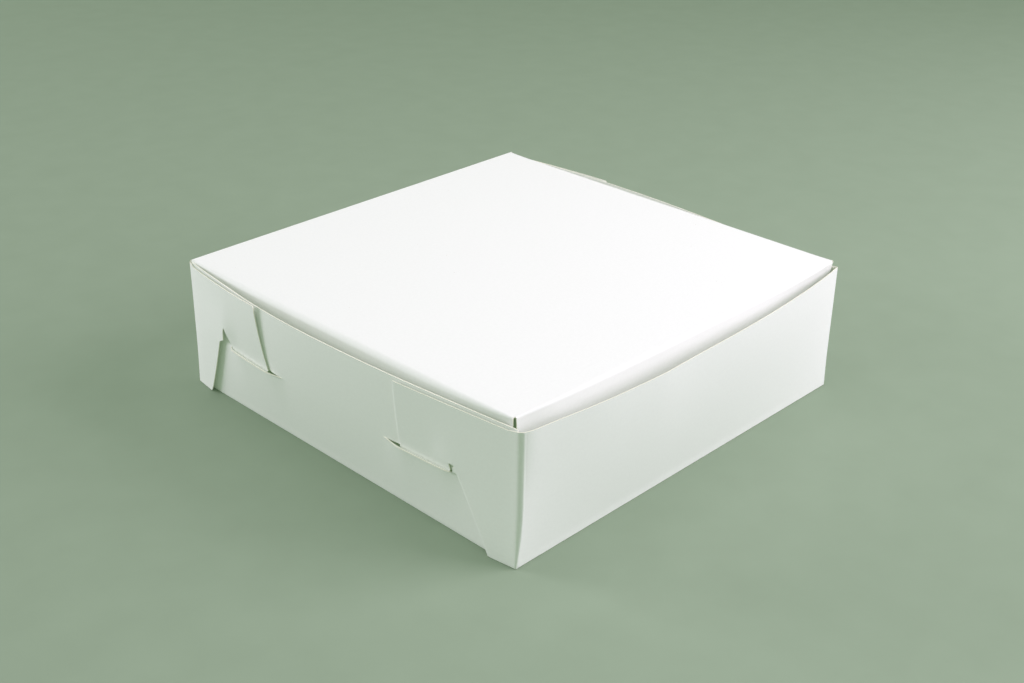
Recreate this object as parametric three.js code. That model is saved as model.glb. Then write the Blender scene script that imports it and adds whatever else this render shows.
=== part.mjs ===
// A folding bakery box of white paperboard, closed, standing on its base.
// Millimetres, +Z up. The origin is the middle of the base panel's underside. The lid hangs on the
// rear wall (+Y) and tucks in behind the front wall (-Y).
// The box is one scored sheet. Each panel between two scores is one solid, and each score, the
// crushed band that works as a paper hinge, is one solid of its own.
import * as THREE from "three";

// Board and fits
const BOARD = 0.5; // thickness of the paperboard
const SEAM = 0.3; // gap between a panel and the score beside it
const LAP = 0.3; // gap between two boards that lie on each other
const FOLD = 1.2; // outer radius of the bottom scores and of the lid's hinge score
const CORNER = 1.5; // outer radius of the upright corner scores
const ROLL = 4; // outer radius of the lid's soft edges

// Tray
const WIDTH = 255; // outside, left to right, over the lock flaps' roots
const DEPTH = 255; // outside, front to rear
const WALL_HEIGHT = 75; // top edge of the front and side walls
const FRONT_BOW = 10.8; // how far the front wall's top edge springs outward
const FRONT_BOW_SKEW = 0.25; // share by which that bow leans to the left
const SIDE_BOW = 9.6; // the same for the side walls
const SIDE_BOW_SKEW = 0.35; // share by which it leans to the short lock flap

// Slits in the side walls
const SLIT_HEIGHT = 37; // height of the slits
const SLIT_LEAD = 6; // slit length before the tongue
const SLIT_TAIL = 12.5; // slit length beyond the tongue
const LIP_ROOM = 0.45; // play between a tongue and the slit's lower lip, over LAP
const LIP_FOOT = 4; // height at which the lower lip's bulge starts

// Lock flaps: two long ones and two short ones, set diagonally
const FOOT = 0.4; // height of the corners and legs above the table
const TONGUE = 10; // how deep a tongue reaches below its slit
const TOP_DROP = 1.5; // fall of a flap's top edge towards its end
const TUCK = 0.85; // share of the wall's bow that the tongue follows
const SPLAY = 3; // how far a leg's toe springs off the wall
const LONG_FLAP = {
  toe: 14.5, // width of the leg at the table
  knee: 33, // width of the leg at the top of its slanting edge
  kneeRise: 1.5, // height of that point above the slit
  barb: 3.5, // reach of the leg's barb beyond the knee
  barbRise: 1, // rise of the barb's lower edge
  notch: 3, // lean of the notch's edge beyond the barb
  notchRise: 3, // rise of that edge
  root: 1.5, // from the notch to the tongue's near end at the slit
  tongueLead: 9, // slant of the tongue's near edge below the slit
  tongueWidth: 17, // width of the tongue's tip
  tongueTail: 8.5, // slant of the tongue's far edge
  topReach: 1.5, // from the tongue's far end at the slit to the end of the flap's top edge
};
const SHORT_FLAP = {
  toe: 17.5,
  knee: 30.5,
  kneeRise: 1.5,
  barb: 3.7,
  barbRise: 1.5,
  notch: 0.2,
  notchRise: 8.5,
  root: 4.3,
  tongueLead: 9.3,
  tongueWidth: 15.5,
  tongueTail: 9.5,
  topReach: -4.5,
};

// Lid
const LID_LIFT = 0.5; // gap between the walls' top edges and the lid's underside at the hinge
const LID_REST = THREE.MathUtils.degToRad(0.5); // how far the lid's flaps hold it up when it is shut
const LID_SIDE_GAP = 1.2; // from the lid's side edges to the side walls' ends
const LID_FRONT_GAP = 3.5; // from the lid's front edge to the front wall's ends
const LID_TILT = THREE.MathUtils.degToRad(8); // lean of the tucked flaps into the box
const FRONT_FLAP_DEPTH = 48;
const FRONT_FLAP_INSET = 0.8; // from the lid's side edges to the front flap's ends
const FRONT_FLAP_TAPER = THREE.MathUtils.degToRad(4);
const SIDE_FLAP_DEPTH = 40;
const SIDE_FLAP_FRONT_TAPER = THREE.MathUtils.degToRad(8);
const SIDE_FLAP_REAR_TAPER = THREE.MathUtils.degToRad(40);
const FLAP_ROUND = 6; // rounding of the flaps' free corners

// Mesh steps
const BEND_STEP = 12; // longest cell of a bent board
const ARC_STEPS = 6; // facets of a score
const PROBE = 0.01; // step that reads a surface's slope, and tolerance of the slits' lines

// Derived positions
const LAY = BOARD + LAP; // from board to lapped board, middle to middle
const WALL_START = FOLD + SEAM; // height at which the walls begin
const SIDE_WALL_X = WIDTH / 2 - BOARD / 2 - LAY; // middle of a side wall at its ends
const SIDE_FACE_X = SIDE_WALL_X + BOARD / 2;
const SIDE_HALF = DEPTH / 2 - CORNER - SEAM; // half length of a side wall
const FRONT_HALF = WIDTH / 2 - CORNER - SEAM;
const LID_TOP = WALL_HEIGHT + LID_LIFT + BOARD;
const LID_X = SIDE_WALL_X - BOARD / 2 - LID_SIDE_GAP; // the lid's side edges
const LID_Y = DEPTH / 2 - BOARD - LID_FRONT_GAP; // the lid's front edge
const QUARTER = Math.PI / 2;
const LID_TURN = QUARTER + LID_TILT;
const ROLL_REACH = ROLL * Math.tan(LID_TURN / 2); // from the lid's edge to the end of its soft bend

const { smoothstep } = THREE.MathUtils;

// A lock flap's points, as lengths from its corner and heights. Each size starts where the last ends.
function flapPlan(sizes) {
  const plan = { toe: sizes.toe, knee: sizes.knee };
  plan.kneeHeight = SLIT_HEIGHT + sizes.kneeRise;
  plan.barb = plan.knee + sizes.barb;
  plan.barbHeight = plan.kneeHeight + sizes.barbRise;
  plan.notch = plan.barb + sizes.notch;
  plan.notchHeight = plan.barbHeight + sizes.notchRise;
  plan.neck = plan.notch - sizes.barb; // root of the barb, at the notch's height
  plan.root = plan.notch + sizes.root;
  plan.tongueFrom = plan.root + sizes.tongueLead;
  plan.tongueTo = plan.tongueFrom + sizes.tongueWidth;
  plan.slitEnd = plan.tongueTo + sizes.tongueTail;
  plan.topEnd = plan.slitEnd + sizes.topReach;
  return plan;
}

const longFlap = flapPlan(LONG_FLAP);
const shortFlap = flapPlan(SHORT_FLAP);

// Outward bow of the walls: none at the bottom, full at the top edge.
function rise(z) {
  return Math.sin((QUARTER * z) / WALL_HEIGHT);
}

function frontBow(x) {
  const t = x / FRONT_HALF;
  return FRONT_BOW * (1 - Math.abs(t) ** 3) * (1 - FRONT_BOW_SKEW * t);
}

function sideBow(y) {
  const t = y / SIDE_HALF;
  return SIDE_BOW * (1 - t * t) * (1 + SIDE_BOW_SKEW * t);
}

// Position along the left wall of a length measured from the front or the rear corner.
const fromFront = (u) => u - DEPTH / 2;
const fromRear = (u) => DEPTH / 2 - u;

// How far a flap's tongue lies outside the middle of the wall's ends.
function tongueOffset(y) {
  return LAY + TUCK * sideBow(y);
}

// Share of the lower lip's bulge along one slit.
function lipShare(u, flap) {
  const opening = smoothstep(u, flap.root - SLIT_LEAD, flap.root - SEAM);
  const closing = smoothstep(u, flap.slitEnd + SEAM, flap.slitEnd + SLIT_TAIL);
  return opening * (1 - closing);
}

// The left wall: below a slit the board stands outside the tongue, above it inside.
function sideWallPoint(y, z, lip) {
  const bow = sideBow(y) * rise(z);
  if (lip === "upper") {
    return new THREE.Vector3(-SIDE_WALL_X - bow, y, z);
  }
  const along = lipShare(y + DEPTH / 2, longFlap) + lipShare(DEPTH / 2 - y, shortFlap);
  const up = smoothstep(z, LIP_FOOT, SLIT_HEIGHT - TONGUE - SEAM);
  const outside = tongueOffset(y) + LAY + LIP_ROOM;
  return new THREE.Vector3(-SIDE_WALL_X - bow - along * up * (outside - bow), y, z);
}

// Cells needed for a length of bent board.
const cellCount = (length) => Math.max(1, Math.ceil(Math.abs(length) / BEND_STEP));

// One quadrilateral of the flat sheet, its corners listed anticlockwise, cut into cells.
function patch(corners, columns, rows, side = "") {
  return { corners, columns, rows, side };
}

// A board bent over the surface that place() gives. Patches share the points that they have in
// common, except where apart() says that the sheet is cut between two sides.
function bentBoard(patches, place, apart = () => false) {
  const middles = [];
  const normals = [];
  const known = new Map();
  const cells = [];

  function pointIndex(u, v, side) {
    const key = `${u.toFixed(3)} ${v.toFixed(3)} ${apart(u, v) ? side : ""}`;
    if (!known.has(key)) {
      const along = place(u + PROBE, v, side).sub(place(u - PROBE, v, side));
      const up = place(u, v + PROBE, side).sub(place(u, v - PROBE, side));
      known.set(key, middles.length);
      middles.push(place(u, v, side));
      normals.push(along.cross(up).normalize());
    }
    return known.get(key);
  }

  for (const { corners, columns, rows, side } of patches) {
    const [a, b, c, d] = corners;
    const at = (column, row) => {
      const s = column / columns;
      const t = row / rows;
      const mix = (k) => (a[k] * (1 - s) + b[k] * s) * (1 - t) + (d[k] * (1 - s) + c[k] * s) * t;
      return pointIndex(mix(0), mix(1), side);
    };
    for (let column = 0; column < columns; column++) {
      for (let row = 0; row < rows; row++) {
        cells.push([at(column, row), at(column + 1, row), at(column + 1, row + 1), at(column, row + 1)]);
      }
    }
  }

  const positions = [];
  for (const lift of [BOARD / 2, -BOARD / 2]) {
    middles.forEach((middle, i) => positions.push(...middle.clone().addScaledVector(normals[i], lift)));
  }
  const back = middles.length;
  const edges = new Set();
  for (const cell of cells) {
    cell.forEach((from, i) => edges.add(`${from} ${cell[(i + 1) % 4]}`));
  }
  const triangles = [];
  for (const cell of cells) {
    const [p, q, r, s] = cell;
    triangles.push(p, q, r, p, r, s);
    triangles.push(back + p, back + r, back + q, back + p, back + s, back + r);
    cell.forEach((from, i) => {
      const to = cell[(i + 1) % 4];
      if (!edges.has(`${to} ${from}`)) {
        triangles.push(to, from, back + from, to, back + from, back + to);
      }
    });
  }
  const geometry = new THREE.BufferGeometry();
  geometry.setAttribute("position", new THREE.Float32BufferAttribute(positions, 3));
  geometry.setIndex(triangles);
  geometry.computeVertexNormals();
  return geometry;
}

// A score folded to a round bend. The outer faces of its two panels meet on the X axis: one panel
// leaves along +Y, facing up, and the other turns down from it.
function score(radius, turn, length) {
  const reach = radius * Math.tan(turn / 2);
  const shape = new THREE.Shape();
  shape.absarc(reach, -radius, radius, QUARTER, QUARTER + turn, false);
  shape.absarc(reach, -radius, radius - BOARD, QUARTER + turn, QUARTER, true);
  const geometry = new THREE.ExtrudeGeometry(shape, {
    depth: length,
    bevelEnabled: false,
    curveSegments: ARC_STEPS,
  });
  const axes = new THREE.Matrix4().makeBasis(
    new THREE.Vector3(0, 1, 0),
    new THREE.Vector3(0, 0, 1),
    new THREE.Vector3(1, 0, 0),
  );
  return geometry.applyMatrix4(axes).translate(-length / 2, 0, 0);
}

// A flat board between two corners.
function flatBoard(x0, x1, y0, y1, z0, z1) {
  const geometry = new THREE.BoxGeometry(x1 - x0, y1 - y0, z1 - z0);
  return geometry.translate((x0 + x1) / 2, (y0 + y1) / 2, (z0 + z1) / 2);
}

// A tucked flap of the lid, hanging from the X axis with its outer face towards -Y. It runs from
// x0 to x1 at the lid and narrows by a taper at each end.
function tuckFlap(x0, x1, depth, taper0, taper1) {
  const start = ROLL_REACH + SEAM;
  const low0 = x0 + (depth - start) * Math.tan(taper0);
  const low1 = x1 - (depth - start) * Math.tan(taper1);
  const round0 = FLAP_ROUND * Math.tan(taper0);
  const round1 = FLAP_ROUND * Math.tan(taper1);
  const shape = new THREE.Shape();
  shape.moveTo(x0, -start);
  shape.lineTo(low0 - round0, FLAP_ROUND - depth);
  shape.quadraticCurveTo(low0, -depth, low0 + FLAP_ROUND, -depth);
  shape.lineTo(low1 - FLAP_ROUND, -depth);
  shape.quadraticCurveTo(low1, -depth, low1 + round1, FLAP_ROUND - depth);
  shape.lineTo(x1, -start);
  shape.closePath();
  const geometry = new THREE.ExtrudeGeometry(shape, {
    depth: BOARD,
    bevelEnabled: false,
    curveSegments: ARC_STEPS,
  });
  return geometry.rotateX(QUARTER).translate(0, BOARD, 0).rotateX(LID_TILT);
}

function sideWall() {
  const apart = (y, z) => {
    const inside = (u, flap) => {
      return u > flap.root - SLIT_LEAD + PROBE && u < flap.slitEnd + SLIT_TAIL - PROBE;
    };
    const slit = inside(y + DEPTH / 2, longFlap) || inside(DEPTH / 2 - y, shortFlap);
    return slit && Math.abs(z - SLIT_HEIGHT) < PROBE;
  };
  const breaks = (flap) => [
    flap.root - SLIT_LEAD,
    flap.root,
    flap.slitEnd,
    flap.slitEnd + SLIT_TAIL,
  ];
  const stations = [
    -SIDE_HALF,
    ...breaks(longFlap).map(fromFront),
    ...breaks(shortFlap).map(fromRear).reverse(),
    SIDE_HALF,
  ];
  const levels = [WALL_START, SLIT_HEIGHT - TONGUE, SLIT_HEIGHT, WALL_HEIGHT];
  const patches = [];
  for (let i = 0; i + 1 < stations.length; i++) {
    const [y0, y1] = [stations[i], stations[i + 1]];
    const columns = Math.max(2, cellCount(y1 - y0));
    for (let j = 0; j + 1 < levels.length; j++) {
      const [z0, z1] = [levels[j], levels[j + 1]];
      const corners = [[y0, z0], [y1, z0], [y1, z1], [y0, z1]];
      const side = z0 < SLIT_HEIGHT ? "lower" : "upper";
      patches.push(patch(corners, columns, cellCount(z1 - z0), side));
    }
  }
  return bentBoard(patches, sideWallPoint, apart);
}

// A lock flap on the outside of the left wall, at the corner from which `along` measures.
function lockFlap(flap, along) {
  const start = CORNER + SEAM;
  const topAt = (u) => WALL_HEIGHT - (TOP_DROP * (u - start)) / (flap.topEnd - start);
  const tip = SLIT_HEIGHT - TONGUE;
  const legCells = cellCount(flap.knee);
  const handCells = cellCount(flap.topEnd - flap.notch);
  const topRows = cellCount(WALL_HEIGHT - flap.notchHeight);
  const { knee, kneeHeight, notch, notchHeight, neck, root, slitEnd, topEnd } = flap;

  const patches = [
    patch([[start, FOOT], [flap.toe, FOOT], [knee, kneeHeight], [start, kneeHeight]],
      legCells, cellCount(kneeHeight), "leg"),
    patch([[start, kneeHeight], [knee, kneeHeight], [neck, notchHeight], [start, notchHeight]],
      legCells, 1, "leg"),
    patch([[knee, kneeHeight], [flap.barb, flap.barbHeight], [notch, notchHeight], [neck, notchHeight]],
      1, 1, "leg"),
    patch([[start, notchHeight], [neck, notchHeight], [neck, topAt(neck)], [start, WALL_HEIGHT]],
      legCells, topRows, "hand"),
    patch([[neck, notchHeight], [notch, notchHeight], [notch, topAt(notch)], [neck, topAt(neck)]],
      1, topRows, "hand"),
    patch([[notch, notchHeight], [slitEnd, notchHeight], [topEnd, topAt(topEnd)], [notch, topAt(notch)]],
      handCells, topRows, "hand"),
    patch([[root, SLIT_HEIGHT], [slitEnd, SLIT_HEIGHT], [slitEnd, notchHeight], [notch, notchHeight]],
      handCells, 2, "tongue"),
    patch([[flap.tongueFrom, tip], [flap.tongueTo, tip], [slitEnd, SLIT_HEIGHT], [root, SLIT_HEIGHT]],
      handCells, 1, "tongue"),
  ];

  const place = (u, z, part) => {
    const y = along(u);
    const flat = LAY + sideBow(y);
    let offset = flat;
    if (part === "leg") {
      offset += SPLAY * ((u - start) / (flap.toe - start)) * Math.max(0, 1 - z / notchHeight) ** 2;
    }
    if (part === "tongue") {
      const share = 1 - smoothstep(z, SLIT_HEIGHT, notchHeight);
      offset += share * (tongueOffset(y) - flat);
    }
    return new THREE.Vector3(-SIDE_WALL_X - offset, y, z);
  };
  return bentBoard(patches, place);
}

function frontWall() {
  const corners = [
    [-FRONT_HALF, WALL_START],
    [FRONT_HALF, WALL_START],
    [FRONT_HALF, WALL_HEIGHT],
    [-FRONT_HALF, WALL_HEIGHT],
  ];
  const place = (x, z) => new THREE.Vector3(x, BOARD / 2 - DEPTH / 2 - frontBow(x) * rise(z), z);
  const whole = patch(corners, cellCount(2 * FRONT_HALF), cellCount(WALL_HEIGHT - WALL_START));
  return bentBoard([whole], place);
}

// An upright corner score: the lock flap leaves along +Y, facing -X, and the wall along +X.
function cornerScore() {
  const length = WALL_HEIGHT - FOOT;
  return score(CORNER, QUARTER, length).rotateY(-QUARTER).translate(0, 0, FOOT + length / 2);
}

// A bottom score: the base leaves along +Y, facing down, and the wall rises.
function bottomScore(length) {
  return score(FOLD, QUARTER, length).rotateY(Math.PI);
}

const PANEL_WHITE = 0xf4f5f2;
const SCORE_WHITE = 0xe6e7e2;

function addPiece(group, name, geometry, color) {
  const material = new THREE.MeshStandardMaterial({ color, roughness: 0.7, metalness: 0 });
  const mesh = new THREE.Mesh(geometry, material);
  mesh.name = name;
  group.add(mesh);
  return mesh;
}

function addGroup(parent, x, y, z) {
  const group = new THREE.Group();
  group.position.set(x, y, z);
  parent.add(group);
  return group;
}

const box = new THREE.Group();
box.name = "paper_box";

// Base panel, front and rear walls, and the scores that join them
const baseX = SIDE_FACE_X - FOLD - SEAM;
const baseY = DEPTH / 2 - FOLD - SEAM;
const rearTop = LID_TOP - FOLD - SEAM;
addPiece(box, "bottom_panel", flatBoard(-baseX, baseX, -baseY, baseY, 0, BOARD), PANEL_WHITE);
addPiece(box, "front_wall", frontWall(), PANEL_WHITE);
const rearWall = flatBoard(-FRONT_HALF, FRONT_HALF, DEPTH / 2 - BOARD, DEPTH / 2, WALL_START, rearTop);
addPiece(box, "rear_wall", rearWall, PANEL_WHITE);
const frontScore = addPiece(box, "bottom_front_score", bottomScore(2 * FRONT_HALF), SCORE_WHITE);
frontScore.position.y = -DEPTH / 2;
const rearScore = addPiece(box, "bottom_rear_score", bottomScore(2 * FRONT_HALF), SCORE_WHITE);
rearScore.position.y = DEPTH / 2;
rearScore.rotation.z = Math.PI;

// Each side: wall, bottom score, and a lock flap with its corner score at either end. The right
// side is the left one turned half round, so its long flap sits at the rear.
for (const { turn, side, long, short } of [
  { turn: 0, side: "left", long: "front_left", short: "rear_left" },
  { turn: Math.PI, side: "right", long: "rear_right", short: "front_right" },
]) {
  const flank = addGroup(box, 0, 0, 0);
  flank.rotation.z = turn;
  addPiece(flank, `${side}_wall`, sideWall(), PANEL_WHITE);
  addPiece(flank, `${long}_lock_flap`, lockFlap(longFlap, fromFront), PANEL_WHITE);
  addPiece(flank, `${short}_lock_flap`, lockFlap(shortFlap, fromRear), PANEL_WHITE);
  const sideScore = addPiece(flank, `bottom_${side}_score`, bottomScore(2 * SIDE_HALF), SCORE_WHITE);
  sideScore.position.x = -SIDE_FACE_X;
  sideScore.rotation.z = -QUARTER;
  const longCorner = addPiece(flank, `${long}_corner_score`, cornerScore(), SCORE_WHITE);
  longCorner.position.set(-WIDTH / 2, -DEPTH / 2, 0);
  const shortCorner = addPiece(flank, `${short}_corner_score`, cornerScore(), SCORE_WHITE);
  shortCorner.position.set(-WIDTH / 2, DEPTH / 2, 0);
  shortCorner.rotation.z = -QUARTER;
}

// The lid, from its hinge line on the rear wall, and the hinge score, which stays with the wall
const lidX = LID_X - ROLL_REACH - SEAM;
const lidLength = DEPTH / 2 + LID_Y; // hinge line to front edge
const lidFront = ROLL_REACH + SEAM - lidLength;
const lidRear = -FOLD - SEAM;
const hingeScore = addPiece(box, "lid_rear_score", score(FOLD, QUARTER, 2 * lidX), SCORE_WHITE);
hingeScore.position.set(0, DEPTH / 2, LID_TOP);
hingeScore.rotation.z = Math.PI;
const lid = addGroup(box, 0, DEPTH / 2, LID_TOP);
lid.rotation.x = -LID_REST;
addPiece(lid, "lid_panel", flatBoard(-lidX, lidX, lidFront, lidRear, -BOARD, 0), PANEL_WHITE);

// The lid's flaps, each from the line where its outer face meets the lid's top
const frontHalf = LID_X - FRONT_FLAP_INSET;
const sideHalf = (lidRear - lidFront) / 2;
const front = addGroup(lid, 0, -lidLength, 0);
const frontFlap = tuckFlap(-frontHalf, frontHalf, FRONT_FLAP_DEPTH, FRONT_FLAP_TAPER, FRONT_FLAP_TAPER);
addPiece(front, "lid_front_score", score(ROLL, LID_TURN, 2 * frontHalf), SCORE_WHITE);
addPiece(front, "lid_front_flap", frontFlap, PANEL_WHITE);
for (const { side, sign, taper0, taper1 } of [
  { side: "left", sign: -1, taper0: SIDE_FLAP_REAR_TAPER, taper1: SIDE_FLAP_FRONT_TAPER },
  { side: "right", sign: 1, taper0: SIDE_FLAP_FRONT_TAPER, taper1: SIDE_FLAP_REAR_TAPER },
]) {
  const edge = addGroup(lid, sign * LID_X, (lidFront + lidRear) / 2, 0);
  edge.rotation.z = sign * QUARTER;
  const flap = tuckFlap(-sideHalf, sideHalf, SIDE_FLAP_DEPTH, taper0, taper1);
  addPiece(edge, `lid_${side}_score`, score(ROLL, LID_TURN, 2 * sideHalf), SCORE_WHITE);
  addPiece(edge, `lid_${side}_flap`, flap, PANEL_WHITE);
}

export default box;
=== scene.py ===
import math

import bmesh
import bpy
from mathutils import Matrix, Vector, noise


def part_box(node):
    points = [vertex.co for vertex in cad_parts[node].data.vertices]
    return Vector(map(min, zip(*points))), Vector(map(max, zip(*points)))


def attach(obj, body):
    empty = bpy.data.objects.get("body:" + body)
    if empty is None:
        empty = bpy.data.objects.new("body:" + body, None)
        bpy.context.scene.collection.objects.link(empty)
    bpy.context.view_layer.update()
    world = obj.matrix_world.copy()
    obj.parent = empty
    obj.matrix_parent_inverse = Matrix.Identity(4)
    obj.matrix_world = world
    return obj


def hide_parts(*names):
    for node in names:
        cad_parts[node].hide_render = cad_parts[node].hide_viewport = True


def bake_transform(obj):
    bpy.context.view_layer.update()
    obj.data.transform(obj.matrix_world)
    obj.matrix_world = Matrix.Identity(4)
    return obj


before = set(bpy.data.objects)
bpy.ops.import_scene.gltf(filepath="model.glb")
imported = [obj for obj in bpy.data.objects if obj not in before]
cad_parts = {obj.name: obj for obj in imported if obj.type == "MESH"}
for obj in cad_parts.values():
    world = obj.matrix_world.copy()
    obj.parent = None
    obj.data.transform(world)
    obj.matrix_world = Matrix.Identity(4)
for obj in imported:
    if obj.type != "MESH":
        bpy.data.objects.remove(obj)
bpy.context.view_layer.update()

MM = 0.001

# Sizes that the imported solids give
corner_low, corner_high = (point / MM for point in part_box("front_left_corner_score"))
hinge_low, hinge_high = (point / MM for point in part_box("lid_rear_score"))
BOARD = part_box("bottom_panel")[1].z / MM
HALF_WIDTH = -corner_low.x
HALF_DEPTH = -corner_low.y
FOOT = corner_low.z
WALL_TOP = corner_high.z
LID_TOP = hinge_high.z
HINGE = hinge_high.z - hinge_low.z

# The walls' bows
LAY = 0.8  # from a wall to the flap that lies on it, middle to middle
SIDE_WALL_X = HALF_WIDTH - BOARD / 2 - LAY
CORNER_S = HALF_WIDTH - BOARD / 2  # middle of the board at the upright corners
BOW_HALF = 125.7  # half the length of a bow
FRONT_BOW, FRONT_SKEW, FRONT_BOW_POWER, FRONT_SEED = 10.1, 0.25, 3, 0.3
KINK, KINK_X, KINK_REACH = 0.5, -37.0, 22.0  # soft crease in the front wall's top edge
BOW_START = 4.0  # height over which a wall eases from its fold into its lean
BOW_LIMIT = 1.05  # share of the height past which the lean stays as it is
SWELL, SWELL_REACH, SWELL_FROM = 1.1, 6.0, 15.0  # bulge of the front wall close to its left corner
RIPPLE, RIPPLE_LENGTH = 0.35, 60.0  # unevenness of the walls
LEFT_WALL = dict(bow=9.35, skew=0.35, seed=4.7, drop=0.0)
RIGHT_WALL = dict(bow=7.6, skew=-0.25, seed=8.1, drop=0.9)
SIDE_WALL_END = 126.2  # half the length of a side wall
SLACK = 0.35  # how far a side wall's free top hangs inside the flaps
CORNER_SLACK, SLACK_REACH, SLACK_EASE = 2.9, 52.0, 50.0  # and more beside the short flap's corner
CORNER_LOW, CORNER_HIGH, CORNER_EASE = 0.5, 1.4, 22.0  # softness of the upright corners, low and high
CURL_EASE, CURL_POWER = 6.0, 3  # width of wall that follows a flap's inward curl, and the curl's shape
PUSH_REACH, PUSH_EASE = 6.0, 14.0  # how far a corner's push goes into the flap and into the wall
CORNER_RISE = 38.0  # height over which the curl and the push of a corner grow
SOFT_CORNER = dict(curl=0.5, curl_reach=7.5, push=0.0)
PUSHED_CORNER = dict(curl=1.1, curl_reach=2.6, push=2.6)  # the near corner, pushed to the front
CORNER_SPREAD = [-1, -0.75, -0.5, -0.25, 0, 0.25, 0.5, 0.75, 1]  # samples that soften a corner

# Lock flaps: the tongue's depth, the lips of the slit and the points of the two patterns
TONGUE_DEPTH = 10.0
SLIT_LEAD, SLIT_TAIL = 2.5, 12.5  # how far a slit goes on past its tongue's root and far end
TONGUE_TUCK, TONGUE_SLOPE = 0.2, 0.06  # how far a tongue goes in at the slit, and per length below it
LIP_FOOT, LIP_BULGE, LIP_POWER = 8.0, 0.95, 1.3  # the wall's bulge below a slit, and where it begins
LIP_CURL, LIP_CURL_DEPTH, LIP_STEP = 1.9, 1.8, 0.25  # the lower lip's outward curl along its edge
BULGE_LEAD = 8.0  # how far either side of the slit's start the bulge grows
LIP_SINK, LIP_SINK_REACH = 0.4, 8.0  # how far the upper lip is pushed in
STAND_FADE, STAND_TOP = 14.0, 70.0  # width over which a leg's spring fades, and height where it ends
SHOULDER_U = 6.0  # where the drop of a flap's top edge beside its corner ends
RIM_REACH = 1.3  # width of the bent rim along a long flap's free edges
RIM_CUTS = [0.3, 0.65, 1.0, 1.3]  # lines of the mesh beside those edges
TOP_ROUND, TONGUE_ROUND, KNEE_ROUND, TOE_ROUND = 0.6, 3, 0.5, 1  # radii of the flaps' cut corners
LONG_FLAP = dict(
    slit=37, toe=16.7, knee=36.8, knee_z=37.6, root=41.8, tongue_from=50, tongue_to=67, slit_end=75.5,
    top_end=77, stand=2.2, stand_from=FOOT, whole_z=42, leg_end=40.9, rim=0.17,
    notch=[(41.7, 41.7, 0.4), (38.3, 41.5, 0.3), (38.6, 40.5, 0.2), (39.2, 40.2, 0.2),
           (39.2, 37.4, 0.2)],
)
SHORT_FLAP = dict(
    slit=38.8, toe=14.9, knee=32.2, knee_z=39.5, root=43, tongue_from=52, tongue_to=67.5, slit_end=77,
    top_end=71.5, stand=1.9, stand_from=38, whole_z=51.5, leg_end=38, rim=0.0,
    notch=[(38, 51.3, 0.8), (36.6, 41.9, 0.4)],
)
FRONT_LEFT = dict(**LONG_FLAP, **PUSHED_CORNER, wall=LEFT_WALL,
                  shoulder=1.5, top_drop=1.7, end_lift=0.2)
FRONT_RIGHT = dict(**SHORT_FLAP, **SOFT_CORNER, wall=RIGHT_WALL,
                   shoulder=1.3, top_drop=1.5, end_lift=0.2)
REAR_RIGHT = dict(**LONG_FLAP, **SOFT_CORNER, wall=RIGHT_WALL,
                  shoulder=1.4, top_drop=0.8, end_lift=0.5)
REAR_LEFT = dict(**SHORT_FLAP, **SOFT_CORNER, wall=LEFT_WALL,
                 shoulder=1.4, top_drop=-0.8, end_lift=0.3)

# Lid
LID_REST = math.radians(0.48)  # slope of the closed lid
LID_LENGTH = 251.0  # from the hinge to the front crease, half way across
LID_X = 125.0  # half width, to the side creases
LID_EAR, LID_EAR_REACH = 1.2, 7.0  # extra half width at the hinge, and how fast it goes
FRONT_EAR, FRONT_EAR_REACH = 0.5, 6.0  # the same at the front right corner
LID_TURN = math.radians(98)  # whole turn of the lid's flaps
LID_SLANT = 1.55  # how much longer the lid is at its right edge than half way across
ROLL_SHARP = 0.8  # outer radius of the lid's edges at its corners
ROLL_FRONT, ROLL_LEFT, ROLL_RIGHT = 2.6, 3.0, 1.6  # and half way between them
ROLL_POWER = 4  # how long an edge keeps its middle radius towards the corners
TURN_FRONT, TURN_LEFT, TURN_RIGHT = (math.radians(a) for a in (79, 92, 90))  # turn of the crease there
TURN_CORNER, CORNER_TURN_EASE = math.radians(88), 24.0  # turn of the front crease at its left end
TURN_EASE = 70.0  # width over which it turns on to LID_TURN at its right end
LEAN = 16.0  # length over which a flap turns on from its crease to LID_TURN
LID_SKEW = 0.9  # how far the lid's front edge is pushed to the right
LID_SEAM = 118.0  # half width of the lid's middle sheet, where its side sheets begin
LID_END = 250.0  # mean length of the two side sheets
FRONT_FLAP_X, FRONT_FLAP_END, FRONT_FLAP_TAPER = 123.6, 296.0, math.radians(4)
FRONT_FLAP_STEP = 2.0  # length of the front flap before its taper
SIDE_FLAP_END = 163.0
SIDE_FLAP_FRONT_TAPER, SIDE_FLAP_REAR_TAPER = math.radians(8), math.radians(40)
SIDE_FLAP_FRONT_STEP, SIDE_FLAP_REAR_STEP = 1.0, 2.0  # length of the side flaps before each taper
LID_FLAP_ROUND = 6.0  # radius of the flaps' free corners
HINGE_INSET = 0.2  # how much shorter the hinge's fold is than the lid at either end

# Base
BASE_MARGIN = 2.0  # flat board that goes with a fold
FOLD = 0.7  # outer radius of the bottom folds
FOLD_RADIUS = FOLD - BOARD / 2
HINGE_RADIUS = HINGE - BOARD / 2
FOLD_FOOT = FOLD - FOLD_RADIUS * math.pi / 2
FOLD_END_X, FOLD_END_Y = 125.4, 124.2  # half lengths of the bottom folds

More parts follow.
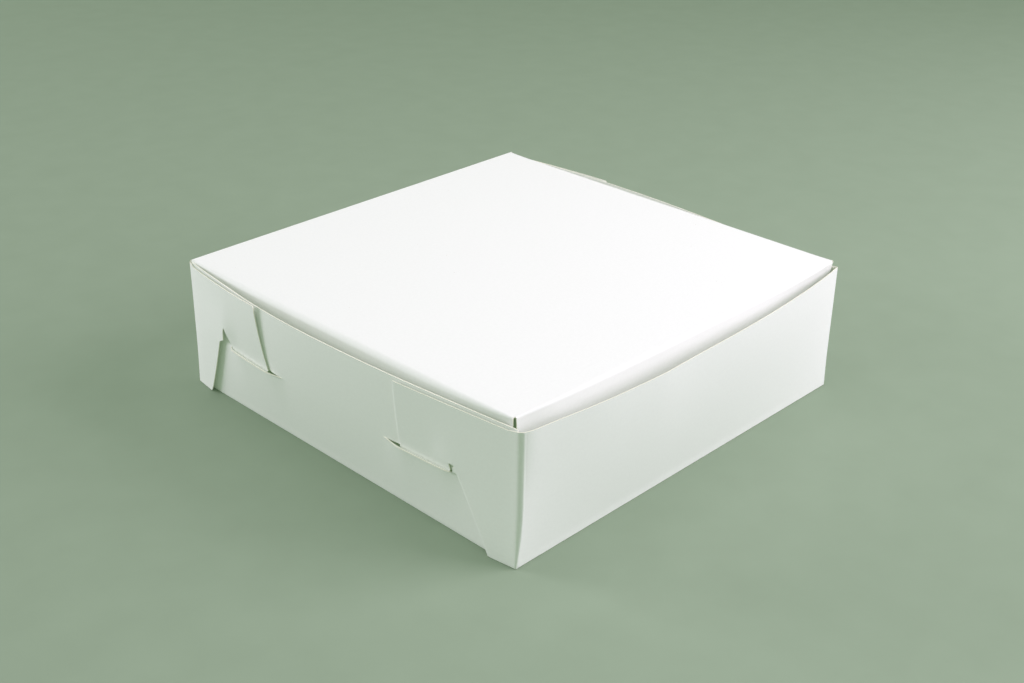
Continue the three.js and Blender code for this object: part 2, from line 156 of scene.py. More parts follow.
# Mesh
CELL, WIDE_CELL, LID_SIDE_ROW = 2.5, 6.0, 4.0  # cells of a bent sheet, a flat one and the lid's sides
FINE = 0.35  # cells across a fold
HINGE_CELL = FINE / 2  # cells across the lid's hinge
CORNER_STRIP, CORNER_GAP = 3.2, 3.0  # half widths of a corner's fine strip, and of the gap left for it
CREASE_LEAD, CREASE_TAIL = 3.0, 6.0  # reach of the fine strip before and after the lid's front crease
SIDE_CREASE_END = 130.0  # where the fine strip of a lid's side crease ends
PROBE = 0.02  # step for the slope of a bent sheet
ARC_STEPS = 5
CUT_SNAP, JOIN_SNAP = 1e-4, 1e-3  # distances below which points count as one
UV_LENGTH = 100.0  # length of sheet in one unit of its UV map
OUTSIDE, INSIDE, CUT_EDGE = range(3)  # material slots of a board

# Paper and floor
PAPERS = {
    "board_outside": dict(pale=(0.925, 0.93, 0.915), shade=(0.895, 0.9, 0.885), rough=0.6, bump=0.5),
    "board_inside": dict(pale=(0.905, 0.905, 0.865), shade=(0.885, 0.885, 0.845), rough=0.7, bump=0.5),
    "board_edge": dict(pale=(0.91, 0.89, 0.775), shade=(0.85, 0.83, 0.715), rough=0.8, bump=0.6),
}
FIBRE, FIBRE_STRETCH = dict(scale=220, detail=4, roughness=0.6), (0.35, 1.0, 1.0)
MOTTLE, MOTTLE_RANGE = dict(scale=60, detail=6, roughness=0.65), (0.3, 0.7)
SPECK_SCALE, SPECK_RANGE, SPECK_COLOUR, NO_SPECK = 9, (0.012, 0.02), (0.62, 0.58, 0.5), (1, 1, 1)
ROUGH_SPREAD = 0.08  # how much the fibres change the roughness
RELIEF = 0.00004  # height of the fibres in metres
PAPER_SPECULAR = 0.3
PAINTED_GLOW_COLOUR, PAINTED_GLOW = (0.61, 1, 0.5, 1), 0.028  # painted light: a faint green glow given off by the board, for light through thin board and lifted shade
FLOOR_GRAIN, FLOOR_RANGE = dict(scale=40, detail=6, roughness=0.5), (0.2, 0.8)
FLOOR_SHADE, FLOOR_PALE = (0.272, 0.355, 0.25), (0.29, 0.377, 0.268)
FLOOR_ROUGH = 0.9
FLOOR_HALF = 6.0  # half the floor's width in metres

# Light, fitted to the photograph's tones; places and sizes in metres
LIGHTS = [
    dict(name="key", place=(0.75, -0.95, 0.72), target=(0.03, -0.1, 0.05),
         size=1.0, power=17.3, colour=(0.956, 0.82, 1)),
    dict(name="side", place=(-1.215, 2.357, 0.457), target=(-0.13, 0.03, 0.05),
         size=1.1, power=49.5, colour=(0.947, 0.864, 1)),
    dict(name="front", place=(-0.4, -1.4, 0.8), target=(0, 0, 0.04),
         size=1.0, power=1.25, colour=(0.82, 0.89, 1)),
    dict(name="top", place=(-0.2, 0.1, 1.5), target=(0, 0, 0),
         size=1.4, power=9.5, colour=(0.962, 0.824, 1)),
]
WORLD_COLOUR, WORLD_STRENGTH = (0.754, 1, 0.681, 1), 0.345

# Camera, fitted to the photograph
CAMERA_PLACE = (-0.52395, -0.50902, 0.40484)
CAMERA_AZIMUTH, CAMERA_PITCH, CAMERA_ROLL = (math.radians(a) for a in (-45.77, 27.36, -0.75))
CAMERA_LENS, SENSOR_WIDTH = 50.81, 36


def smooth(value, low, high):
    """Eases from 0 at low to 1 at high."""
    t = min(1.0, max(0.0, (value - low) / (high - low)))
    return t * t * (3 - 2 * t)


def steps(low, high, step):
    """Even stations inside a stretch."""
    count = max(1, math.ceil((high - low) / step))
    return [low + (high - low) * k / count for k in range(1, count)]


def rise(z):
    """Share of the bow that a wall has at a height."""
    above = max(0.0, z - FOLD)
    eased = above * above / (2 * BOW_START) if above < BOW_START else above - BOW_START / 2
    full = WALL_TOP - FOLD - BOW_START / 2
    return math.sin(math.pi / 2 * min(BOW_LIMIT, eased / full))


def ripple(along, z, seed):
    """Unevenness of a wall."""
    point = Vector((along / RIPPLE_LENGTH, z / RIPPLE_LENGTH, seed))
    return RIPPLE * noise.noise(point) * rise(z)


def front_bulge(x, z):
    """How far the front wall stands out of its upright plane."""
    t = x / BOW_HALF
    bow = FRONT_BOW * max(0.0, 1 - abs(t) ** FRONT_BOW_POWER) * (1 - FRONT_SKEW * t)
    close = max(0.0, x + CORNER_S) / SWELL_REACH
    swell = SWELL * close * math.exp(1 - close) * smooth(z, SWELL_FROM, WALL_TOP)
    kink = KINK * max(0.0, 1 - abs(x - KINK_X) / KINK_REACH)
    return (bow + swell + kink * rise(z)) * rise(z) + ripple(x, z, FRONT_SEED)


def no_bulge(x, z):
    """The rear wall stays upright."""
    return 0.0


def side_bulge(y, z, wall):
    """How far a side wall stands out of its upright plane, seen as the left wall."""
    t = y / BOW_HALF
    bow = wall["bow"] * max(0.0, 1 - t * t) * (1 + wall["skew"] * t)
    return bow * rise(z) + ripple(y, z, wall["seed"])


def fold_profile(v):
    """Distance inward from the wall's plane and height of a point of a bottom fold."""
    if v >= FOLD:
        return 0.0, v
    if v <= FOLD_FOOT:
        return FOLD_RADIUS + FOLD_FOOT - v, BOARD / 2
    turn = (v - FOLD_FOOT) / FOLD_RADIUS
    return FOLD_RADIUS * (1 - math.sin(turn)), FOLD - FOLD_RADIUS * math.cos(turn)


def rounded(corners):
    """An outline whose corners, given as u, v and a radius, are rounded."""
    outline = []
    for k, (u, v, radius) in enumerate(corners):
        here = Vector((u, v))
        if not radius:
            outline.append(here)
            continue
        back = (Vector(corners[k - 1][:2]) - here).normalized()
        on = (Vector(corners[(k + 1) % len(corners)][:2]) - here).normalized()
        reach = radius / math.tan(back.angle(on) / 2)
        for i in range(ARC_STEPS + 1):
            t = i / ARC_STEPS
            pull = (1 - t) ** 2 * back + t * t * on
            outline.append(here + reach * pull)
    return outline


def cut_sheet(outlines, columns, rows):
    """Flat sheet with the given outlines, scored into cells."""
    sheet = bmesh.new()
    for outline in outlines:
        sheet.faces.new([sheet.verts.new((u, v, 0)) for u, v in outline])
    for normal, lines in ((Vector((1, 0, 0)), columns), (Vector((0, 1, 0)), rows)):
        for line in lines:
            whole = [*sheet.verts, *sheet.edges, *sheet.faces]
            bmesh.ops.bisect_plane(sheet, geom=whole, dist=CUT_SNAP,
                                   plane_co=normal * line, plane_no=normal)
    return sheet


def join_outlines(sheet, slits):
    """Joins the outlines of a sheet where they meet, except inside the slits."""
    def inside(point):
        return any(low + JOIN_SNAP < point.x < high - JOIN_SNAP and abs(point.y - v) < JOIN_SNAP
                   for low, high, v in slits)

    meeting = [point for point in sheet.verts if not inside(point.co)]
    bmesh.ops.remove_doubles(sheet, verts=meeting, dist=JOIN_SNAP)


def bend_sheet(sheet, place):
    """The outside, the inside and the flat place of each point of a bent sheet. place() takes u, v and
    the v of the cells around the point, which tells the two lips of a slit apart."""
    front, back, flat = [], [], []
    for point in sheet.verts:
        u, v, _ = point.co
        cells = [face.calc_center_median().y for face in point.link_faces]
        cell = sum(cells) / len(cells)
        across = place(u + PROBE, v, cell) - place(u - PROBE, v, cell)
        up = place(u, v + PROBE, cell) - place(u, v - PROBE, cell)
        normal = across.cross(up).normalized()
        middle = place(u, v, cell)
        front.append((middle + normal * BOARD / 2) * MM)
        back.append((middle - normal * BOARD / 2) * MM)
        flat.append((u, v))
    return front, back, flat


def board_faces(sheet, count):
    """The faces of a board over a sheet of count points, and the material slot of each."""
    faces, kinds = [], []
    for face in sheet.faces:
        ring = [point.index for point in face.verts]
        faces += [ring, [count + i for i in reversed(ring)]]
        kinds += [OUTSIDE, INSIDE]
        for loop in face.loops:
            if loop.edge.is_boundary:
                a, b = loop.vert.index, loop.link_loop_next.vert.index
                faces.append([b, a, count + a, count + b])
                kinds.append(CUT_EDGE)
    return faces, kinds


def board(name, sheet, place, materials):
    """A piece of board of even thickness, made from a flat sheet that place() bends."""
    sheet.verts.index_update()
    front, back, flat = bend_sheet(sheet, place)
    count = len(front)
    faces, kinds = board_faces(sheet, count)
    sheet.free()
    mesh = bpy.data.meshes.new(name)
    mesh.from_pydata(front + back, [], faces)
    for material in materials:
        mesh.materials.append(material)
    layer = mesh.uv_layers.new(name="sheet")
    for polygon, kind in zip(mesh.polygons, kinds):
        polygon.material_index = kind
        polygon.use_smooth = True
        for loop in polygon.loop_indices:
            u, v = flat[mesh.loops[loop].vertex_index % count]
            layer.data[loop].uv = (u / UV_LENGTH, v / UV_LENGTH)
    mark_cut_edges(mesh)
    piece = bpy.data.objects.new(name, mesh)
    bpy.context.collection.objects.link(piece)
    return piece


def mark_cut_edges(mesh):
    """Keeps a board's cut edge crisp: shading is smooth only within one material."""
    work = bmesh.new()
    work.from_mesh(mesh)
    for edge in work.edges:
        edge.smooth = len({face.material_index for face in edge.link_faces}) == 1
    work.to_mesh(mesh)
    work.free()


# Tray ends: a wall with a lock flap at either end

def corner_share(z):
    """Share of its curl and push that a corner has at a height."""
    return math.sin(math.pi / 2 * min(1.0, max(0.0, z) / CORNER_RISE))


def curl(u, z, flap):
    """How far a flap bends inward beside its corner."""
    near = max(0.0, 1 - max(0.0, u) / flap["curl_reach"])
    return flap["curl"] * near ** CURL_POWER * corner_share(z)


def leg_stand(u, z, flap):
    """How far a lock flap's leg springs away from the wall, swung straight out from the corner."""
    edge = flap["toe"] + (flap["leg_end"] - flap["toe"]) * min(1.0, max(0.0, z / flap["slit"]))
    across = min(1.0, max(0.0, u / edge)) * (1 - smooth(u, edge, edge + STAND_FADE))
    return flap["stand"] * across * (1 - smooth(z, flap["stand_from"], STAND_TOP))


def free_edges(flap):
    """The ends, as u and height, of the straight cuts along a flap's leg and its far end."""
    leg = (flap["toe"], FOOT), (flap["knee"], flap["knee_z"])
    far = (flap["slit_end"], flap["slit"]), (flap["top_end"], WALL_TOP - flap["top_drop"])
    return leg, far


def rim_bend(u, z, flap):
    """How far a flap bends in along its free edges."""
    leg, far = free_edges(flap)
    (u0, z0), (u1, z1) = leg if z < flap["knee_z"] and u < flap["leg_end"] else far
    past = u0 + (u1 - u0) * (z - z0) / (z1 - z0) - u
    inside = past * (z1 - z0) / math.hypot(u1 - u0, z1 - z0)
    if z < z0 or inside > RIM_REACH:
        return 0.0
    return flap["rim"] * (1 - max(0.0, inside) / RIM_REACH) ** 2


def flap_lift(u, y, z, flap):
    """How far a lock flap's middle lies outside the wall's upright plane."""
    whole, slit = flap["whole_z"], flap["slit"]
    lift = LAY + side_bulge(y, z, flap["wall"]) - rim_bend(u, z, flap)
    if z >= whole:
        share = max(0.0, (z - slit) / (WALL_TOP - slit))
        lift += flap["end_lift"] * (share * max(0.0, u / flap["top_end"])) ** 2
        return lift + leg_stand(u, z, flap) - curl(u, z, flap)
    if u > flap["leg_end"]:
        above = smooth(z, slit, whole)
        tuck = TONGUE_TUCK * (1 - above) + TONGUE_SLOPE * max(0.0, slit - z)
        return lift + leg_stand(u, z, flap) * above - tuck
    return lift + leg_stand(u, z, flap) - curl(u, z, flap)


def sharp_end_point(s, z, bulge, flaps):
    """A tray end's middle surface with knife-sharp corners, seen as the front wall and its flaps."""
    past = abs(s) - CORNER_S
    side, flap = (-1, flaps[0]) if s < 0 else (1, flaps[1])
    push = flap["push"] * corner_share(z)
    if past <= 0:
        inset, height = fold_profile(z)
        x = s - side * curl(BOARD / 2, z, flap) * max(0.0, 1 + past / CURL_EASE)
        return Vector((x, inset - CORNER_S - bulge(s, z) - push * math.exp(past / PUSH_EASE), height))
    y = past - CORNER_S
    out = SIDE_WALL_X + flap_lift(past + BOARD / 2, -side * y, z, flap)
    return Vector((side * out, y - push * max(0.0, 1 - past / PUSH_REACH) ** 2, z))


def end_point(bulge, flaps):
    """The same surface with its corners softened."""
    def place(s, z, _):
        soft = CORNER_LOW + (CORNER_HIGH - CORNER_LOW) * smooth(z, 0, CORNER_EASE)
        away = (abs(s) - CORNER_S) / (2 * soft)
        if abs(away) >= 1:
            return sharp_end_point(s, z, bulge, flaps)
        width = soft * (1 - away * away) ** 2
        spread = (sharp_end_point(s + width * share, z, bulge, flaps) for share in CORNER_SPREAD)
        return sum(spread, Vector()) / len(CORNER_SPREAD)
    return place


def flap_outline(flap, side):
    """One lock flap's cut edge, from the top at the corner round to the foot at the corner."""
    corners = [
        (0, WALL_TOP, 0),
        (SHOULDER_U, WALL_TOP - flap["shoulder"], 0),
        (flap["top_end"], WALL_TOP - flap["top_drop"], TOP_ROUND),
        (flap["slit_end"], flap["slit"], 0),
        (flap["tongue_to"], flap["slit"] - TONGUE_DEPTH, TONGUE_ROUND),
        (flap["tongue_from"], flap["slit"] - TONGUE_DEPTH, TONGUE_ROUND),
        (flap["root"], flap["slit"], 0),
        *flap["notch"],
        (flap["knee"], flap["knee_z"], KNEE_ROUND),
        (flap["toe"], FOOT, TOE_ROUND),
        (0, FOOT, 0),
    ]
    outline = rounded(corners)[1:-1]
    shift = CORNER_S - BOARD / 2
    return [(side * (shift + u), v) for u, v in outline]


def cut_rims(sheet, flap, side):
    """Scores a flap along its free edges."""
    shift = CORNER_S - BOARD / 2
    for (u0, v0), (u1, v1) in free_edges(flap):
        start = Vector((side * (shift + u0), v0, 0))
        line = Vector((side * (shift + u1), v1, 0)) - start
        inward = Vector((-side * line.y, side * line.x, 0)).normalized()
        for depth in RIM_CUTS:
            near = []
            for face in sheet.faces:
                centre = face.calc_center_median()
                on_flap = v0 < centre.y < v1 and centre.x * side > CORNER_S
                if on_flap and (centre - start).dot(inward) < 2 * CELL:
                    near.append(face)
            around = {part for face in near for part in (*face.verts, *face.edges)}
            bmesh.ops.bisect_plane(sheet, geom=near + list(around), dist=CUT_SNAP,
                                   plane_co=start + inward * depth, plane_no=inward)


def end_outline(flaps, foot, top):
    """A tray end's cut edge. The wall reaches down to foot and up to top between its corners."""
    left = flap_outline(flaps[0], -1)
    right = flap_outline(flaps[1], 1)
    right.reverse()
    end = CORNER_S - CORNER_HIGH
    bottom = [(-end, FOOT), (-end, FOLD), (end, FOLD), (end, FOOT)]
    if foot < FOLD:
        bottom[1:3] = [(-end, FOLD), (-FOLD_END_X, FOLD), (-FOLD_END_X, foot), (FOLD_END_X, foot),
                       (FOLD_END_X, FOLD), (end, FOLD)]
    crown = [(CORNER_S, WALL_TOP), (-CORNER_S, WALL_TOP)]
    if top != WALL_TOP:
        crown[1:1] = [(end, WALL_TOP), (end, top), (-end, top), (-end, WALL_TOP)]
    return left + bottom + right + crown


def end_cells(reach, foot):
    """Columns and rows of a tray end, finer at its corners and its fold."""
    wide = CORNER_S + CORNER_GAP
    inner = CORNER_S - CORNER_GAP
    columns = steps(-reach, -wide, CELL) + steps(wide, reach, CELL) + steps(-inner, inner, CELL)
    for side in (-1, 1):
        columns += steps(side * CORNER_S - CORNER_STRIP, side * CORNER_S + CORNER_STRIP, FINE)
    rows = steps(FOLD, WALL_TOP, CELL) + [FOLD]
    if foot < FOLD:
        rows += [FOLD_FOOT] + steps(FOLD_FOOT, FOLD, FINE)
    return columns, rows


def tray_end(name, bulge, flaps, foot, top, materials):
    """A wall with its two lock flaps, cut from one sheet."""
    columns, rows = end_cells(CORNER_S + flaps[0]["top_end"], foot)
    sheet = cut_sheet([end_outline(flaps, foot, top)], columns, rows)
    for side, flap in zip((-1, 1), flaps):
        if flap["rim"]:
            cut_rims(sheet, flap, side)
    return board(name, sheet, end_point(bulge, flaps), materials)


# Side walls, with the slits

def lip_shares(u, flap):
    """How far the lips of a slit are parted, and the share of its bulge that the wall has below it."""
    root = flap["root"]
    closing = 1 - min(1.0, max(0.0, (u - flap["slit_end"]) / SLIT_TAIL))
    parted = smooth(u, root - SLIT_LEAD, root)
    swollen = smooth(u, root - BULGE_LEAD, root + BULGE_LEAD)
    return parted * closing, swollen * closing


def slack(y, z):
    """How far a side wall's free top hangs inside the flaps, seen as the left wall."""
    share = max(0.0, (z - LONG_FLAP["slit"]) / (WALL_TOP - LONG_FLAP["slit"]))
    past = CORNER_S - y
    beside = CORNER_SLACK * math.exp(-past / SLACK_REACH) * smooth(past, 0, SLACK_EASE)
    return share * (SLACK + beside)


def side_point(wall):
    """A side wall, seen as the left one from outside: s runs to the right, towards the front."""
    def place(s, v, cell):
        y = -s
        inset, z = fold_profile(v)
        out = SIDE_WALL_X - inset + side_bulge(y, z, wall) - slack(y, z)
        flap = LONG_FLAP if s > 0 else SHORT_FLAP
        slit = flap["slit"]
        parted, swollen = lip_shares(HALF_DEPTH - abs(y), flap)
        bulge = LIP_BULGE * swollen
        if cell > slit:
            fade = 1 - smooth(z, slit, slit + LIP_SINK_REACH)
            out += (bulge * (1 - parted) - parted * LIP_SINK) * fade
        elif z > LIP_FOOT:
            curled = max(0.0, 1 - (slit - z) / LIP_CURL_DEPTH)
            out += bulge * ((z - LIP_FOOT) / (slit - LIP_FOOT)) ** LIP_POWER
            out += parted * LIP_CURL * curled * curled
        return Vector((-out, y, z))
    return place


def wall_slits():
    """The rear and the front slit of a side wall: both ends along it and the height."""
    slits = []
    for side, flap in ((-1, SHORT_FLAP), (1, LONG_FLAP)):
        lead = side * (HALF_DEPTH - flap["root"] + SLIT_LEAD)
        tail = side * (HALF_DEPTH - flap["slit_end"] - SLIT_TAIL)
        slits.append((min(lead, tail), max(lead, tail), flap["slit"]))
    return slits


def side_wall(name, wall, materials):
    """A side wall, cut as two outlines that meet along a seam through both slits."""
    end = SIDE_WALL_END
    foot, top = FOLD_FOOT - BASE_MARGIN, WALL_TOP - wall["drop"]
    slits = wall_slits()
    (_, _, rear_slit), (_, _, front_slit) = slits
    slit_ends = [(s, v) for low, high, v in slits for s in (low, high)]
    seam = [(-end, rear_slit)] + slit_ends + [(end, front_slit)]
    fold = [(-FOLD_END_Y, FOLD), (-FOLD_END_Y, foot), (FOLD_END_Y, foot), (FOLD_END_Y, FOLD)]
    lower = [(-end, FOLD)] + fold + [(end, FOLD)] + seam[::-1]
    upper = seam + [(end, top), (-end, top)]
    rows = steps(FOLD, WALL_TOP, CELL) + [FOLD, FOLD_FOOT] + steps(FOLD_FOOT, FOLD, FINE)
    for v in (rear_slit, front_slit):
        rows += [v - LIP_CURL_DEPTH] + steps(v - LIP_CURL_DEPTH, v, LIP_STEP)
    sheet = cut_sheet([lower, upper], steps(-end, end, CELL), rows)
    join_outlines(sheet, slits)
    return board(name, sheet, side_point(wall), materials)


# Base and the front wall's fold

def front_fold_point(x, v, _):
    """The fold between the base and the front wall."""
    inset, z = fold_profile(v)
    return Vector((x, inset - CORNER_S, z))


def front_fold(materials):
    foot = FOLD_FOOT - BASE_MARGIN
    outline = [(-FOLD_END_X, foot), (FOLD_END_X, foot), (FOLD_END_X, FOLD), (-FOLD_END_X, FOLD)]
    rows = [FOLD_FOOT] + steps(FOLD_FOOT, FOLD, FINE)
    sheet = cut_sheet([outline], steps(-FOLD_END_X, FOLD_END_X, WIDE_CELL), rows)
    return board("front_fold", sheet, front_fold_point, materials)


def base_point(x, v, _):
    """The base seen from below: v runs to the front."""
    return Vector((x, -v, BOARD / 2))


def base_sheet(materials):
    x = SIDE_WALL_X - FOLD_RADIUS - BASE_MARGIN
    y = CORNER_S - FOLD_RADIUS - BASE_MARGIN
    outline = [(-x, -y), (x, -y), (x, y), (-x, y)]
    sheet = cut_sheet([outline], steps(-x, x, WIDE_CELL), steps(-y, y, WIDE_CELL))
    return board("base_sheet", sheet, base_point, materials)


# Lid

def lid_place(x, along, drop):
    """Point of the lid: distance from the hinge line and depth below the lid's top."""
    y = HALF_DEPTH - along * math.cos(LID_REST) - drop * math.sin(LID_REST)
    z = LID_TOP + along * math.sin(LID_REST) - drop * math.cos(LID_REST)
    return Vector((x, y, z))


def roll_profile(distance, edge, radius, first_turn):
    """Distance reached and depth below the top of a point of a lid edge, which turns round a crease and
    then more slowly on to LID_TURN."""
    reach, drop, angle = edge - ROLL_SHARP, BOARD / 2, 0.0
    left = distance - reach
    if left <= 0:
        return distance, drop
    crease = (radius - BOARD / 2) * first_turn
    for length, turn in ((crease, first_turn), (LEAN, LID_TURN - first_turn)):
        part = min(left, length)
        bent = angle + turn * part / length
        if turn:
            reach += (math.sin(bent) - math.sin(angle)) * length / turn
            drop += (math.cos(angle) - math.cos(bent)) * length / turn
        else:
            reach += part * math.cos(angle)
            drop += part * math.sin(angle)
        angle = bent
        left -= part
    return reach + left * math.cos(angle), drop + left * math.sin(angle)


def between(share, corner, middle):
    """A value that a lid edge has at its corners, -1 and 1, and keeps off them."""
    return corner + (middle - corner) * max(0.0, 1 - abs(share) ** ROLL_POWER)


def slant(x):
    """How much longer the lid is at x than half way across."""
    return LID_SLANT * x / LID_X


def skew(along):
    """How far the lid is pushed to the right at a distance from the hinge."""
    return LID_SKEW * (along / LID_LENGTH) ** 2


def lid_point(x, v, _):
    """The lid's middle sheet with its front flap."""
    share = x / LID_SEAM
    radius = between(share, ROLL_SHARP, ROLL_FRONT)
    turn = TURN_FRONT + (LID_TURN - TURN_FRONT) * smooth(x, LID_SEAM - TURN_EASE, LID_SEAM)
    turn += (TURN_CORNER - TURN_FRONT) * smooth(-x, LID_SEAM - CORNER_TURN_EASE, LID_SEAM)
    reach, drop = roll_profile(-v, LID_LENGTH + slant(x), radius, turn)
    return lid_place(x + skew(min(-v, LID_LENGTH)), reach, drop)


def lid_side_point(side):
    """A side sheet of the lid with its flap."""
    soft, turn = (ROLL_LEFT, TURN_LEFT) if side < 0 else (ROLL_RIGHT, TURN_RIGHT)

    def place(u, v, _):
        along = -v
        edge = LID_X + LID_EAR * math.exp(-along / LID_EAR_REACH)
        if side > 0:
            edge += FRONT_EAR * math.exp((along - LID_END) / FRONT_EAR_REACH)
        share = 2 * along / LID_END - 1
        radius = between(share, ROLL_SHARP, soft)
        reach, drop = roll_profile(side * u, edge, radius, between(share, LID_TURN, turn))
        return lid_place(side * reach + skew(along), along, drop)
    return place


def lid_sheet(materials):
    x, end = FRONT_FLAP_X, FRONT_FLAP_END
    low = x - (end - LID_LENGTH) * math.tan(FRONT_FLAP_TAPER)
    corners = [(-LID_SEAM, -HINGE, 0)]
    for side in (-1, 1):
        stop = LID_END + side * LID_SLANT
        flap = [
            (side * LID_SEAM, -stop, 0), (side * x, -stop, 0), (side * x, -stop - FRONT_FLAP_STEP, 0),
            (side * low, -end, LID_FLAP_ROUND),
        ]
        corners += flap if side < 0 else flap[::-1]
    corners.append((LID_SEAM, -HINGE, 0))
    columns = steps(-LID_SEAM, LID_SEAM, WIDE_CELL) + [-LID_SEAM, LID_SEAM]
    crease, past = LID_LENGTH - CREASE_LEAD, LID_LENGTH + CREASE_TAIL
    rows = steps(-crease, -HINGE, WIDE_CELL) + steps(-past, -crease, FINE) + steps(-end, -past, CELL)
    return board("lid_sheet", cut_sheet([rounded(corners)], columns, rows), lid_point, materials)


def lid_side(name, side, materials):
    end = SIDE_FLAP_END
    stop = LID_END + side * LID_SLANT
    front = stop - (end - LID_X) * math.tan(SIDE_FLAP_FRONT_TAPER)
    rear = HINGE + (end - LID_X) * math.tan(SIDE_FLAP_REAR_TAPER)
    corners = [
        (LID_SEAM, -HINGE, 0), (LID_SEAM, -stop, 0), (LID_X + SIDE_FLAP_FRONT_STEP, -stop, 0),
        (end, -front, LID_FLAP_ROUND), (end, -rear, LID_FLAP_ROUND),
        (LID_X + SIDE_FLAP_REAR_STEP, -HINGE, 0),
    ]
    corners = [(side * u, v, radius) for u, v, radius in corners]
    if side < 0:
        corners.reverse()
    turned = SIDE_CREASE_END
    columns = steps(LID_SEAM, turned, FINE) + steps(turned, end, CELL) + [turned]
    rows = steps(-stop, -HINGE, LID_SIDE_ROW)
    sheet = cut_sheet([rounded(corners)], [side * u for u in columns], rows)
    return board(name, sheet, lid_side_point(side), materials)


def hinge_point(x, v, _):
    """The lid's hinge: v falls from the rear wall's top to the lid, seen from above and behind."""
    turn = (v + HINGE) / HINGE_RADIUS
    y = HALF_DEPTH - HINGE + HINGE_RADIUS * math.sin(turn)
    return Vector((x, y, LID_TOP - HINGE + HINGE_RADIUS * math.cos(turn)))


def lid_hinge(materials):
    half = LID_X + LID_EAR - HINGE_INSET
    end = HINGE_RADIUS * math.pi / 2 - HINGE
    outline = [(-half, -HINGE), (half, -HINGE), (half, end), (-half, end)]
    sheet = cut_sheet([outline], steps(-half, half, WIDE_CELL), steps(-HINGE, end, HINGE_CELL))
    return board("lid_hinge_fold", sheet, hinge_point, materials)


# Materials

def new_material(name):
    material = bpy.data.materials.new(name)
    material.use_nodes = True
    shader = material.node_tree.nodes["Principled BSDF"]
    return material, material.node_tree.nodes, material.node_tree.links, shader


def noise_node(nodes, links, vector, scale, detail, roughness):
    node = nodes.new("ShaderNodeTexNoise")
    node.inputs["Scale"].default_value = scale
    node.inputs["Detail"].default_value = detail
    node.inputs["Roughness"].default_value = roughness
    links.new(vector, node.inputs["Vector"])
    return node.outputs["Fac"]


def ramp_node(nodes, links, value, places, colours):
    """A colour that changes from the first to the second between two places of a value."""
    node = nodes.new("ShaderNodeValToRGB")
    for element, place, colour in zip(node.color_ramp.elements, places, colours):
        element.position = place
        element.color = (*colour, 1)
    links.new(value, node.inputs["Fac"])
    return node.outputs["Color"]


def paper(name, pale, shade, rough, bump):
    """Matt uncoated paper: soft mottle, fibres along the sheet, a few dark specks and a painted green
    glow.
    """
    material, nodes, links, shader = new_material(name)
    sheet = nodes.new("ShaderNodeUVMap").outputs["UV"]
    stretch = nodes.new("ShaderNodeMapping")
    stretch.inputs["Scale"].default_value = FIBRE_STRETCH
    links.new(sheet, stretch.inputs["Vector"])
    fibre = noise_node(nodes, links, stretch.outputs["Vector"], **FIBRE)
    mottle = noise_node(nodes, links, sheet, **MOTTLE)
    tone = ramp_node(nodes, links, mottle, MOTTLE_RANGE, (shade, pale))
    speck = nodes.new("ShaderNodeTexVoronoi")
    speck.inputs["Scale"].default_value = SPECK_SCALE
    links.new(sheet, speck.inputs["Vector"])
    spot = ramp_node(nodes, links, speck.outputs["Distance"], SPECK_RANGE, (SPECK_COLOUR, NO_SPECK))
    mix = nodes.new("ShaderNodeMix")
    mix.data_type = "RGBA"
    mix.blend_type = "MULTIPLY"
    mix.inputs["Factor"].default_value = 1
    links.new(tone, mix.inputs["A"])
    links.new(spot, mix.inputs["B"])
    links.new(mix.outputs["Result"], shader.inputs["Base Color"])
    finish = nodes.new("ShaderNodeMapRange")
    finish.inputs["To Min"].default_value = rough - ROUGH_SPREAD
    finish.inputs["To Max"].default_value = rough + ROUGH_SPREAD
    links.new(fibre, finish.inputs["Value"])
    links.new(finish.outputs["Result"], shader.inputs["Roughness"])
    relief = nodes.new("ShaderNodeBump")
    relief.inputs["Strength"].default_value = bump
    relief.inputs["Distance"].default_value = RELIEF
    links.new(fibre, relief.inputs["Height"])
    links.new(relief.outputs["Normal"], shader.inputs["Normal"])
    shader.inputs["Specular IOR Level"].default_value = PAPER_SPECULAR
    # painted light: the board gives off a faint green glow that lifts its shade
    shader.inputs["Emission Color"].default_value = PAINTED_GLOW_COLOUR
    shader.inputs["Emission Strength"].default_value = PAINTED_GLOW
    return material


def floor_material():
    material, nodes, links, shader = new_material("sage_floor")
    where = nodes.new("ShaderNodeTexCoord").outputs["Object"]
    grain = noise_node(nodes, links, where, **FLOOR_GRAIN)
    tone = ramp_node(nodes, links, grain, FLOOR_RANGE, (FLOOR_SHADE, FLOOR_PALE))
    links.new(tone, shader.inputs["Base Color"])
    shader.inputs["Roughness"].default_value = FLOOR_ROUGH
    return material


# Scene

def add_floor():
    mesh = bpy.data.meshes.new("floor")
    half = FLOOR_HALF
    corners = [(-half, -half, 0), (half, -half, 0), (half, half, 0), (-half, half, 0)]
    mesh.from_pydata(corners, [], [(0, 1, 2, 3)])
    mesh.materials.append(floor_material())
    floor = bpy.data.objects.new("floor", mesh)
    bpy.context.collection.objects.link(floor)


def add_light(name, place, target, size, power, colour):
    data = bpy.data.lights.new(name, "AREA")
    data.size = size
    data.energy = power
    data.color = colour
    light = bpy.data.objects.new(name, data)
    light.location = place
    light.rotation_euler = (Vector(target) - Vector(place)).to_track_quat("-Z", "Y").to_euler()
    bpy.context.collection.objects.link(light)


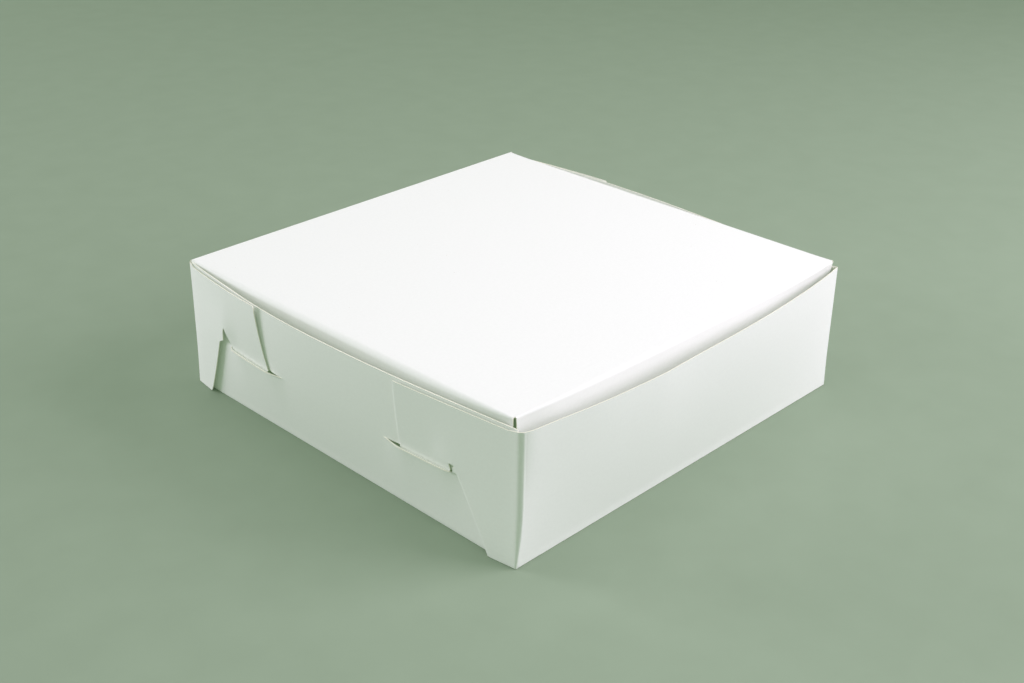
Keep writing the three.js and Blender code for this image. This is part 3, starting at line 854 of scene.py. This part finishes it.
def add_camera():
    a, p, r = CAMERA_AZIMUTH, CAMERA_PITCH, CAMERA_ROLL
    forward = Vector((-math.sin(a) * math.cos(p), math.cos(a) * math.cos(p), -math.sin(p)))
    right = Vector((math.cos(a), math.sin(a), 0))
    down = forward.cross(right)
    level_right = math.cos(r) * right + math.sin(r) * down
    level_down = math.cos(r) * down - math.sin(r) * right
    turn = Matrix((level_right, -level_down, -forward)).transposed()
    data = bpy.data.cameras.new("camera")
    data.sensor_width = SENSOR_WIDTH
    data.lens = CAMERA_LENS
    camera = bpy.data.objects.new("camera", data)
    camera.matrix_world = Matrix.Translation(CAMERA_PLACE) @ turn.to_4x4()
    bpy.context.collection.objects.link(camera)
    bpy.context.scene.camera = camera


def half_turn(piece):
    """Turns a piece drawn as the front or the left one into the rear or the right one."""
    piece.data.transform(Matrix.Rotation(math.pi, 4, "Z"))
    return piece


def add_base(materials):
    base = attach(base_sheet(materials), "tray")
    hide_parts("bottom_panel")


def add_side_walls(materials):
    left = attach(side_wall("left_sheet", LEFT_WALL, materials), "tray")
    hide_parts("left_wall", "bottom_left_score")
    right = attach(half_turn(side_wall("right_sheet", RIGHT_WALL, materials)), "tray")
    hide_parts("right_wall", "bottom_right_score")


def add_front(materials):
    flaps = (FRONT_LEFT, FRONT_RIGHT)
    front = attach(tray_end("front_sheet", front_bulge, flaps, FOLD, WALL_TOP, materials), "front")
    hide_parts("front_wall", "front_left_corner_score", "front_right_corner_score",
                "front_left_lock_flap", "front_right_lock_flap")


def add_rear(materials):
    flaps = (REAR_RIGHT, REAR_LEFT)
    foot, top = FOLD_FOOT - BASE_MARGIN, LID_TOP - HINGE
    rear = half_turn(tray_end("rear_sheet", no_bulge, flaps, foot, top, materials))
    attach(rear, "tray")
    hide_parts("rear_wall", "bottom_rear_score",
                "rear_left_corner_score", "rear_right_corner_score",
                "rear_left_lock_flap", "rear_right_lock_flap")


def add_front_fold(materials):
    fold = front_fold(materials)
    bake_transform(fold)
    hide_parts("bottom_front_score")


def add_lid_hinge(materials):
    hinge = lid_hinge(materials)
    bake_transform(hinge)
    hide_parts("lid_rear_score")


def add_lid(materials):
    lid = lid_sheet(materials)
    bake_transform(lid)
    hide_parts("lid_panel", "lid_front_score", "lid_front_flap")
    for side, word in ((-1, "left"), (1, "right")):
        flap = lid_side(f"lid_{word}_sheet", side, materials)
        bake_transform(flap)
        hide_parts(f"lid_{word}_score", f"lid_{word}_flap")


def add_box():
    materials = [paper(name, **looks) for name, looks in PAPERS.items()]
    for add in (add_base, add_side_walls, add_front, add_rear, add_front_fold, add_lid_hinge, add_lid):
        add(materials)


def add_lights():
    for light in LIGHTS:
        add_light(**light)
    world = bpy.data.worlds.new("studio")
    world.use_nodes = True
    background = world.node_tree.nodes["Background"]
    background.inputs["Color"].default_value = WORLD_COLOUR
    background.inputs["Strength"].default_value = WORLD_STRENGTH
    bpy.context.scene.world = world


bpy.context.scene.view_settings.view_transform = "Standard"
add_camera()
add_floor()
add_box()
add_lights()
